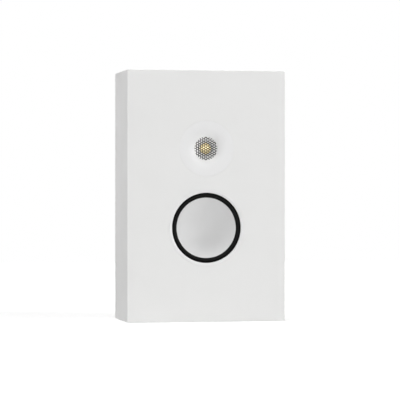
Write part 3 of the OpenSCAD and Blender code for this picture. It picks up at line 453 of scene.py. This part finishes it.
def make_mesh():
    """The hexagonal mesh. Each open cell is a band of strands from its border, pitch / sqrt(3) x hexagon,
    to a hole whose corners are softened towards a circle and which the rim cuts; strand edges are eased.
    Here hexagon(a) = cos 30 / cos(a mod 60 - 30), in degrees. Cells that lie mostly outside the rim are
    filled. Borders of neighbours meet, and the rim joins front to back."""
    corner_share = 0.8
    circle_share = 0.19
    least_hole = 0.3
    angle_step = 15
    column = MESH_PITCH * math.sqrt(3) / 2
    reach = math.ceil(MESH_R / column) + 1
    i, k = np.meshgrid(np.arange(-reach, reach + 1), np.arange(-reach, reach + 1), indexing="ij")
    centres = np.stack([i * column, (k + (np.abs(i) % 2) / 2) * MESH_PITCH], -1).reshape(-1, 2)
    centres = centres[np.hypot(*centres.T) < MESH_R + MESH_PITCH / math.sqrt(3)]
    rim_in = MESH_R - MESH_RIM
    is_open = (np.hypot(*centres.T) < rim_in - least_hole)[:, None, None]
    a = np.radians(np.arange(0, 360, angle_step))
    ways = np.stack([np.cos(a), np.sin(a)], -1)
    hexagon = math.cos(math.pi / 6) / np.cos(a % (math.pi / 3) - math.pi / 6)
    border = MESH_PITCH / math.sqrt(3) * hexagon
    soft = (MESH_PITCH - MESH_STRAND) / math.sqrt(3) * (corner_share * hexagon + circle_share)
    along = centres @ ways.T
    to_rim = np.sqrt(np.maximum(along**2 + rim_in**2 - (centres**2).sum(-1)[:, None], 0)) - along
    hole = np.minimum(soft, to_rim)[:, None]
    # Rows of a cell from its front border through the hole to its back border. The outer two rows lie past
    # every border, which then cuts them; a filled cell has these two rows and its middle point.
    knee = 0.3 * MESH_EASE
    half = MESH_T / 2
    past = MESH_R
    wider = np.array([past, MESH_EASE, knee, 0, 0, knee, MESH_EASE, past])[:, None]
    front_rows = np.array([half, half, half - knee, half - MESH_EASE])
    depth = np.concatenate([front_rows, -front_rows[::-1]])
    radius = np.minimum(border, np.where(is_open, hole + wider, wider - 1))
    place = centres[:, None, None] + np.maximum(radius, 0)[..., None] * ways
    from_axis = np.maximum(np.linalg.norm(place, axis=-1, keepdims=True), SMALLEST)
    place = place * np.minimum(1, MESH_R / from_axis)
    z = np.broadcast_to((depth + (MESH_FRONT + MESH_BACK) / 2)[None, :, None], place.shape[:3])
    points = np.stack([place[..., 0] * MM, front_y - z * MM, tweeter_z + place[..., 1] * MM], -1)
    faces = sheet_faces(len(depth), len(a)).reshape(1, len(depth) - 1, -1, 4)
    faces = faces + (np.arange(len(centres)) * len(depth) * len(a))[:, None, None, None]
    open_faces = faces[is_open[:, 0, 0]].reshape(-1, 4)
    filled_faces = faces[~is_open[:, 0, 0]][:, [0, -1]].reshape(-1, 4)
    mesh_piece(
        "tweeter_mesh_finish", points.reshape(-1, 3), np.concatenate([open_faces, filled_faces]), "cabinet",
        "mesh_grey", ["tweeter_mesh"], 40, closed_rim=True
    )


def make_dome():
    """The dome: a slice of a ball with a narrow land at its foot."""
    ball = (DOME_R ** 2 + DOME_H ** 2) / (2 * DOME_H)
    half = math.degrees(math.asin(DOME_R / ball))
    mid = DOME_TOP - ball
    land = DOME_R + DOME_LAND
    outline = eased(
        arc(0, mid, ball, 90, 90 - half, 40)
        + plain([(land, DOME_BASE), (land, DOME_BASE - DOME_T), (DOME_R - DOME_T, DOME_BASE - DOME_T)])
        + arc(0, mid, ball - DOME_T, 90 - half, 90, 40)
    )
    turned("tweeter_dome_finish", outline, tweeter_z, "tweeter_dome", "dome_gold", ["tweeter_dome"])


def make_dome_roll():
    """The soft roll between the dome's land and the mount ring's shelf."""
    glue_w = 0.4
    r_in = DOME_R + DOME_LAND + 0.05
    mid = r_in + glue_w + ROLL_W / 2
    low = DOME_BASE - DOME_T
    high = low + ROLL_SKIN
    outline = eased(
        plain([(r_in, low), (r_in, high)])
        + arc(mid, high, ROLL_W / 2, 180, 0, 24)
        + plain([(SHELF_R - 0.1, high), (SHELF_R - 0.1, low)])
        + arc(mid, low, ROLL_W / 2 - ROLL_SKIN, 0, 180, 20)
    )
    piece = turned(
        "tweeter_surround_finish", outline, tweeter_z, None, "soft_light", ["tweeter_surround"], sharp=50
    )
    blend_round(piece, tweeter_z, SHELF_R - glue_w, r_in + glue_w / 2)


make_trim_ring()
make_cone()
make_surround()
make_spider()
make_leads()
make_waveguide()
make_mesh()
make_dome()
make_dome_roll()


# Materials

# How far the fine grain moves the tone, and the noise at which the tone starts and ends its way from one
# colour to the other
GRAIN_SHARE = 0.35
TONE_FROM = 0.45
TONE_TO = 0.9
CLOTH_ROUGHNESS = 0.85
# Relief of woven cloth: the bump's strength and its height in metres
THREAD_BUMP = 0.4
THREAD_HEIGHT = 0.0002


def group_input(group, name, kind, value):
    """Adds a named input to a node group."""
    socket = group.interface.new_socket(name=name, in_out="INPUT", socket_type=kind)
    socket.default_value = value


def group_outputs(group, outputs):
    """Adds named outputs to a node group."""
    for name, kind in outputs.items():
        group.interface.new_socket(name=name, in_out="OUTPUT", socket_type=kind)


def make_grain_group():
    """Fine surface grain: a tone that wanders between two colours, a roughness that wanders with it and a
    height for the bump, from noise on the object's own coordinates."""
    group = bpy.data.node_groups.new("surface_grain", "ShaderNodeTree")
    group_input(group, "Colour", "NodeSocketColor", (0.8, 0.8, 0.8, 1))
    group_input(group, "Other Colour", "NodeSocketColor", (0.7, 0.7, 0.7, 1))
    group_input(group, "Patch Size", "NodeSocketFloat", 20)
    group_input(group, "Grain Size", "NodeSocketFloat", 600)
    group_input(group, "Stretch", "NodeSocketVector", (1, 1, 1))
    group_input(group, "Smoothest", "NodeSocketFloat", 0.4)
    group_input(group, "Roughest", "NodeSocketFloat", 0.5)
    group_outputs(group, {
        "Colour": "NodeSocketColor", "Roughness": "NodeSocketFloat", "Height": "NodeSocketFloat"
    })
    new = group.nodes.new
    link = group.links.new
    given = new("NodeGroupInput")
    place = new("ShaderNodeTexCoord")
    stretched = new("ShaderNodeVectorMath")
    stretched.operation = "MULTIPLY"
    link(place.outputs["Object"], stretched.inputs[0])
    link(given.outputs["Stretch"], stretched.inputs[1])
    patches = new("ShaderNodeTexNoise")
    patches.inputs["Detail"].default_value = 3
    link(stretched.outputs[0], patches.inputs["Vector"])
    link(given.outputs["Patch Size"], patches.inputs["Scale"])
    grain = new("ShaderNodeTexNoise")
    grain.inputs["Detail"].default_value = 2
    link(stretched.outputs[0], grain.inputs["Vector"])
    link(given.outputs["Grain Size"], grain.inputs["Scale"])
    both = new("ShaderNodeMath")
    both.operation = "MULTIPLY_ADD"
    both.inputs[1].default_value = GRAIN_SHARE
    link(grain.outputs["Fac"], both.inputs[0])
    link(patches.outputs["Fac"], both.inputs[2])
    share = new("ShaderNodeMapRange")
    share.inputs["From Min"].default_value = TONE_FROM
    share.inputs["From Max"].default_value = TONE_TO
    link(both.outputs[0], share.inputs["Value"])
    mix = new("ShaderNodeMix")
    mix.data_type = "RGBA"
    link(share.outputs["Result"], mix.inputs["Factor"])
    link(given.outputs["Colour"], mix.inputs["A"])
    link(given.outputs["Other Colour"], mix.inputs["B"])
    rough = new("ShaderNodeMapRange")
    link(share.outputs["Result"], rough.inputs["Value"])
    link(given.outputs["Smoothest"], rough.inputs["To Min"])
    link(given.outputs["Roughest"], rough.inputs["To Max"])
    out = new("NodeGroupOutput")
    link(mix.outputs["Result"], out.inputs["Colour"])
    link(rough.outputs["Result"], out.inputs["Roughness"])
    link(grain.outputs["Fac"], out.inputs["Height"])
    return group


def make_weave_group():
    """Woven cloth: two crossed sets of threads from sine waves on the object's own coordinates."""
    group = bpy.data.node_groups.new("woven_threads", "ShaderNodeTree")
    group_input(group, "Thread", "NodeSocketColor", (0.8, 0.6, 0.3, 1))
    group_input(group, "Gap", "NodeSocketColor", (0.4, 0.3, 0.1, 1))
    group_input(group, "Thread Count", "NodeSocketFloat", 300)
    group_outputs(group, {"Colour": "NodeSocketColor", "Height": "NodeSocketFloat"})
    new = group.nodes.new
    link = group.links.new
    given = new("NodeGroupInput")
    place = new("ShaderNodeTexCoord")
    waves = []
    for direction in ("X", "Z"):
        wave = new("ShaderNodeTexWave")
        wave.bands_direction = direction
        link(place.outputs["Object"], wave.inputs["Vector"])
        link(given.outputs["Thread Count"], wave.inputs["Scale"])
        waves.append(wave)
    crossed = new("ShaderNodeMath")
    crossed.operation = "MAXIMUM"
    link(waves[0].outputs["Fac"], crossed.inputs[0])
    link(waves[1].outputs["Fac"], crossed.inputs[1])
    mix = new("ShaderNodeMix")
    mix.data_type = "RGBA"
    link(crossed.outputs[0], mix.inputs["Factor"])
    link(given.outputs["Gap"], mix.inputs["A"])
    link(given.outputs["Thread"], mix.inputs["B"])
    out = new("NodeGroupOutput")
    link(mix.outputs["Result"], out.inputs["Colour"])
    link(crossed.outputs[0], out.inputs["Height"])
    return group


surface_grain = make_grain_group()
woven_threads = make_weave_group()


def linear(*values):
    """A colour as it looks on screen, 0 to 255, made linear by the sRGB curve."""
    share = np.array(values) / 255
    low = share / 12.92
    high = ((share + 0.055) / 1.055) ** 2.4
    return (*np.where(share <= 0.04045, low, high).tolist(), 1)


def shaded(colour, share):
    """The same colour, darker or lighter by a share."""
    return (colour[0] * share, colour[1] * share, colour[2] * share, 1)


def finish(name, colour, rough, spread=0.05, tone=0.97, patch=18, grain=700, stretch=(1, 1, 1), bump=0.05,
           bump_size=0.0001, metallic=0.0, specular=0.5):
    """A material from the surface grain, with its constant values on the shader itself. The roughness goes
    from rough - spread to rough + spread, and the colour from itself to its tone share."""
    made = bpy.data.materials.new(name)
    made.use_nodes = True
    tree = made.node_tree
    shader = tree.nodes["Principled BSDF"]
    shader.inputs["Metallic"].default_value = metallic
    shader.inputs["Specular IOR Level"].default_value = specular
    skin = tree.nodes.new("ShaderNodeGroup")
    skin.node_tree = surface_grain
    skin.inputs["Colour"].default_value = colour
    skin.inputs["Other Colour"].default_value = shaded(colour, tone)
    skin.inputs["Patch Size"].default_value = patch
    skin.inputs["Grain Size"].default_value = grain
    skin.inputs["Stretch"].default_value = stretch
    skin.inputs["Smoothest"].default_value = rough - spread
    skin.inputs["Roughest"].default_value = rough + spread
    relief = tree.nodes.new("ShaderNodeBump")
    relief.inputs["Strength"].default_value = bump
    relief.inputs["Distance"].default_value = bump_size
    tree.links.new(skin.outputs["Colour"], shader.inputs["Base Color"])
    tree.links.new(skin.outputs["Roughness"], shader.inputs["Roughness"])
    tree.links.new(skin.outputs["Height"], relief.inputs["Height"])
    tree.links.new(relief.outputs["Normal"], shader.inputs["Normal"])
    return made


def cloth(name, thread, gap, count):
    """A material of woven threads and the gaps between them."""
    made = bpy.data.materials.new(name)
    made.use_nodes = True
    tree = made.node_tree
    shader = tree.nodes["Principled BSDF"]
    shader.inputs["Roughness"].default_value = CLOTH_ROUGHNESS
    weave = tree.nodes.new("ShaderNodeGroup")
    weave.node_tree = woven_threads
    weave.inputs["Thread"].default_value = thread
    weave.inputs["Gap"].default_value = gap
    weave.inputs["Thread Count"].default_value = count
    relief = tree.nodes.new("ShaderNodeBump")
    relief.inputs["Strength"].default_value = THREAD_BUMP
    relief.inputs["Distance"].default_value = THREAD_HEIGHT
    tree.links.new(weave.outputs["Colour"], shader.inputs["Base Color"])
    tree.links.new(weave.outputs["Height"], relief.inputs["Height"])
    tree.links.new(relief.outputs["Normal"], shader.inputs["Normal"])
    return made


def let_light_through(made):
    """Only the camera sees the material, so the strands keep no light from what lies behind them."""
    tree = made.node_tree
    rays = tree.nodes.new("ShaderNodeLightPath")
    clear = tree.nodes.new("ShaderNodeBsdfTransparent")
    mix = tree.nodes.new("ShaderNodeMixShader")
    tree.links.new(rays.outputs["Is Camera Ray"], mix.inputs["Fac"])
    tree.links.new(clear.outputs[0], mix.inputs[1])
    tree.links.new(tree.nodes["Principled BSDF"].outputs[0], mix.inputs[2])
    tree.links.new(mix.outputs[0], tree.nodes["Material Output"].inputs["Surface"])
    return made


finishes = {
    "lacquer": finish(
        "white_lacquer", linear(237, 237, 236), rough=0.42, spread=0.04, tone=0.985, grain=900, bump=0.04
    ),
    "rear_lacquer": finish(
        "rear_lacquer", linear(232, 232, 230), rough=0.5, spread=0.05, tone=0.97, grain=700, bump=0.06
    ),
    "bare_board": finish(
        "bare_fibreboard", linear(186, 152, 112), rough=0.9, spread=0.05, tone=0.8, patch=60,
        grain=1800, bump=0.3
    ),
    "foam": finish(
        "gasket_foam", linear(38, 38, 38), rough=0.95, spread=0.03, tone=0.6, patch=300,
        grain=2500, bump=0.6
    ),
    "wadding": finish(
        "loose_wadding", linear(228, 226, 220), rough=0.95, spread=0.03, tone=0.8, patch=40,
        grain=500, bump=0.9, bump_size=0.001
    ),
    "black_screw": finish(
        "blackened_steel", linear(40, 40, 42), rough=0.4, spread=0.1, tone=0.7, patch=200,
        grain=1500, metallic=0.9
    ),
    "zinc_steel": finish(
        "zinc_plate", linear(190, 190, 188), rough=0.35, spread=0.1, tone=0.9, patch=90,
        grain=900, metallic=1, stretch=(1, 1, 0.2)
    ),
    "pad_rubber": finish(
        "pad_rubber", linear(58, 58, 58), rough=0.8, spread=0.05, tone=0.85, patch=150, grain=1500, bump=0.2
    ),
    "trim_white": finish(
        "white_moulding", linear(238, 238, 238), rough=0.38, spread=0.04, tone=0.985, patch=30,
        grain=1600, bump=0.05
    ),
    "basket_grey": finish(
        "cast_frame_paint", linear(92, 92, 94), rough=0.6, spread=0.08, tone=0.85, patch=120,
        grain=1300, bump=0.3
    ),
    "surround_rubber": finish(
        "surround_rubber", linear(12, 12, 12), rough=0.5, spread=0.06, tone=0.8, patch=150,
        grain=1800, bump=0.1, specular=0.09
    ),
    "cone_grey": finish(
        "cone_grey", linear(220, 220, 220), rough=0.45, spread=0.05, tone=0.985, patch=40,
        grain=1500, bump=0.06
    ),
    "spider_cloth": cloth("spider_cloth", linear(214, 170, 84), linear(150, 108, 44), 500),
    "former_film": finish(
        "former_film", linear(190, 150, 92), rough=0.35, spread=0.05, tone=0.9, patch=200, grain=900
    ),
    "copper": finish(
        "enamelled_copper", linear(190, 108, 62), rough=0.3, spread=0.05, tone=0.8, patch=200,
        grain=1600, stretch=(1, 8, 1), metallic=1, bump=0.4
    ),
    "motor_steel": finish(
        "plated_steel", linear(170, 172, 176), rough=0.35, spread=0.08, tone=0.9, patch=90,
        grain=900, metallic=1
    ),
    "ferrite": finish(
        "ferrite", linear(62, 62, 66), rough=0.7, spread=0.08, tone=0.8, patch=150, grain=1300, bump=0.3
    ),
    "tag_board": finish(
        "pressed_board", linear(120, 78, 44), rough=0.7, spread=0.05, tone=0.85, patch=200, grain=1500
    ),
    "tag_brass": finish(
        "plated_brass", linear(206, 170, 96), rough=0.3, spread=0.06, tone=0.9, patch=200,
        grain=1500, metallic=1
    ),
    "mesh_grey": let_light_through(finish(
        "mesh_paint", linear(10, 10, 10), rough=0.5, spread=0.06, tone=0.9, patch=200,
        grain=1800, bump=0.1, specular=0.3
    )),
    "dome_gold": finish(
        "gold_dome", linear(255, 238, 188), rough=0.42, spread=0.04, tone=0.94, patch=90,
        grain=900, metallic=1
    ),
    "soft_light": cloth("coated_cloth", linear(220, 220, 218), linear(190, 190, 188), 900),
    "ring_light": finish(
        "pale_moulding", linear(240, 240, 240), rough=0.35, spread=0.05, tone=0.97, patch=60, grain=1500
    ),
    "black_plastic": finish(
        "black_moulding", linear(34, 34, 35), rough=0.5, spread=0.06, tone=0.85, patch=90,
        grain=2200, bump=0.25
    ),
    "board_green": finish(
        "board_green", linear(34, 104, 62), rough=0.4, spread=0.06, tone=0.85, patch=90, grain=1200
    ),
    "capacitor_film": finish(
        "capacitor_film", linear(214, 170, 60), rough=0.3, spread=0.05, tone=0.9, patch=60, grain=900
    ),
    "cement": finish(
        "cement", linear(228, 222, 206), rough=0.9, spread=0.04, tone=0.85, patch=200, grain=1500, bump=0.5
    ),
    "red_plastic": finish(
        "red_moulding", linear(178, 26, 28), rough=0.35, spread=0.06, tone=0.9, patch=90,
        grain=1800, bump=0.1
    ),
    "wire_skin": finish(
        "wire_skin", linear(150, 30, 32), rough=0.45, spread=0.05, tone=0.9, patch=90, grain=900
    ),
}


def dress():
    """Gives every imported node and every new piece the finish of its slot."""
    slots = {part["node"]: part["material_slot"] for part in frame["record"]["subparts"]}
    for name, node in nodes.items():
        node.data.materials.clear()
        node.data.materials.append(finishes[slots[name]])
    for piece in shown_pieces():
        slot = piece.get("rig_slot")
        if slot in finishes and piece.name not in nodes:
            piece.data.materials.clear()
            piece.data.materials.append(finishes[slot])


dress()


# Room and light, in metres

FLOOR_SIZE = 5
FLOOR_TONE = 0.86
# The floor glows little within the near radius of a point in front at the left, and more past the far one
DIM_MIDDLE = (-0.45, -0.3, 0)
DIM_NEAR = 0.6
DIM_FAR = 0.66
DIM_GLOW = 0.26
FULL_GLOW = 0.6
AMBIENT = 0.16
WHITE = (1, 1, 1, 1)
LAMP_SIZE = 1.2
LAMP_AIM = (0, 0, 0.2)


def make_floor():
    """A pale floor that reads white to the camera. Its glow is low in front and at the left, where the lamps
    already fill it, so that no light spills over the lower edges. From below it is clear."""
    made = bpy.data.materials.new("pale_floor")
    made.use_nodes = True
    tree = made.node_tree
    shader = tree.nodes["Principled BSDF"]
    shader.inputs["Base Color"].default_value = (FLOOR_TONE, FLOOR_TONE, FLOOR_TONE, 1)
    shader.inputs["Roughness"].default_value = 0.9
    shader.inputs["Specular IOR Level"].default_value = 0
    shader.inputs["Emission Color"].default_value = WHITE
    rays = tree.nodes.new("ShaderNodeLightPath")
    glow = tree.nodes.new("ShaderNodeMath")
    glow.operation = "MULTIPLY"
    place = tree.nodes.new("ShaderNodeTexCoord")
    away = tree.nodes.new("ShaderNodeVectorMath")
    away.operation = "DISTANCE"
    away.inputs[1].default_value = DIM_MIDDLE
    ramp = tree.nodes.new("ShaderNodeMapRange")
    ramp.inputs["From Min"].default_value = DIM_NEAR
    ramp.inputs["From Max"].default_value = DIM_FAR
    ramp.inputs["To Min"].default_value = DIM_GLOW
    ramp.inputs["To Max"].default_value = FULL_GLOW
    tree.links.new(place.outputs["Object"], away.inputs[0])
    tree.links.new(away.outputs["Value"], ramp.inputs["Value"])
    tree.links.new(ramp.outputs["Result"], glow.inputs[1])
    tree.links.new(rays.outputs["Is Camera Ray"], glow.inputs[0])
    tree.links.new(glow.outputs[0], shader.inputs["Emission Strength"])
    side = tree.nodes.new("ShaderNodeNewGeometry")
    clear = tree.nodes.new("ShaderNodeBsdfTransparent")
    mix = tree.nodes.new("ShaderNodeMixShader")
    tree.links.new(side.outputs["Backfacing"], mix.inputs["Fac"])
    tree.links.new(shader.outputs[0], mix.inputs[1])
    tree.links.new(clear.outputs[0], mix.inputs[2])
    tree.links.new(mix.outputs[0], tree.nodes["Material Output"].inputs["Surface"])
    half = FLOOR_SIZE / 2
    data = bpy.data.meshes.new("floor")
    corners = [(-half, -half, 0), (half, -half, 0), (half, half, 0), (-half, half, 0)]
    data.from_pydata(corners, [], [(0, 1, 2, 3)])
    data.materials.append(made)
    floor = bpy.data.objects.new("floor", data)
    bpy.context.collection.objects.link(floor)


def make_world():
    """White where the camera or a reflection sees it, and a soft even light everywhere else."""
    world = bpy.data.worlds.new("studio")
    bpy.context.scene.world = world
    world.use_nodes = True
    tree = world.node_tree
    tree.nodes.clear()
    rays = tree.nodes.new("ShaderNodeLightPath")
    seen = rays.outputs["Is Camera Ray"]
    for name in ("Is Glossy Ray", "Is Transmission Ray"):
        larger = tree.nodes.new("ShaderNodeMath")
        larger.operation = "MAXIMUM"
        tree.links.new(seen, larger.inputs[0])
        tree.links.new(rays.outputs[name], larger.inputs[1])
        seen = larger.outputs[0]
    soft = tree.nodes.new("ShaderNodeBackground")
    soft.inputs["Color"].default_value = WHITE
    soft.inputs["Strength"].default_value = AMBIENT
    white = tree.nodes.new("ShaderNodeBackground")
    white.inputs["Color"].default_value = WHITE
    white.inputs["Strength"].default_value = 1
    mix = tree.nodes.new("ShaderNodeMixShader")
    out = tree.nodes.new("ShaderNodeOutputWorld")
    tree.links.new(seen, mix.inputs["Fac"])
    tree.links.new(soft.outputs[0], mix.inputs[1])
    tree.links.new(white.outputs[0], mix.inputs[2])
    tree.links.new(mix.outputs[0], out.inputs["Surface"])


def add_lamp(name, place, power):
    """A square soft box of some watts at a place, turned to face the speaker."""
    data = bpy.data.lights.new(name, "AREA")
    data.size = LAMP_SIZE
    data.energy = power
    lamp = bpy.data.objects.new(name, data)
    lamp.location = place
    way = Vector(LAMP_AIM) - Vector(place)
    lamp.rotation_euler = way.to_track_quat("-Z", "Y").to_euler()
    bpy.context.collection.objects.link(lamp)


make_floor()
make_world()
add_lamp("top_lamp", (-0.78, -0.28, 3.29), 64)
add_lamp("left_lamp", (-1.81, -2.58, 0.76), 12.8)
add_lamp("front_lamp", (0, -3.15, 0.76), 10.6)
add_lamp("right_front_lamp", (1.73, -2.45, 1.1), 14.5)
add_lamp("right_lamp", (2.96, -1.08, 0.76), 23)
add_lamp("back_lamp", (0.9, 3.1, 1.9), 14)

bpy.context.scene.view_settings.view_transform = "Standard"
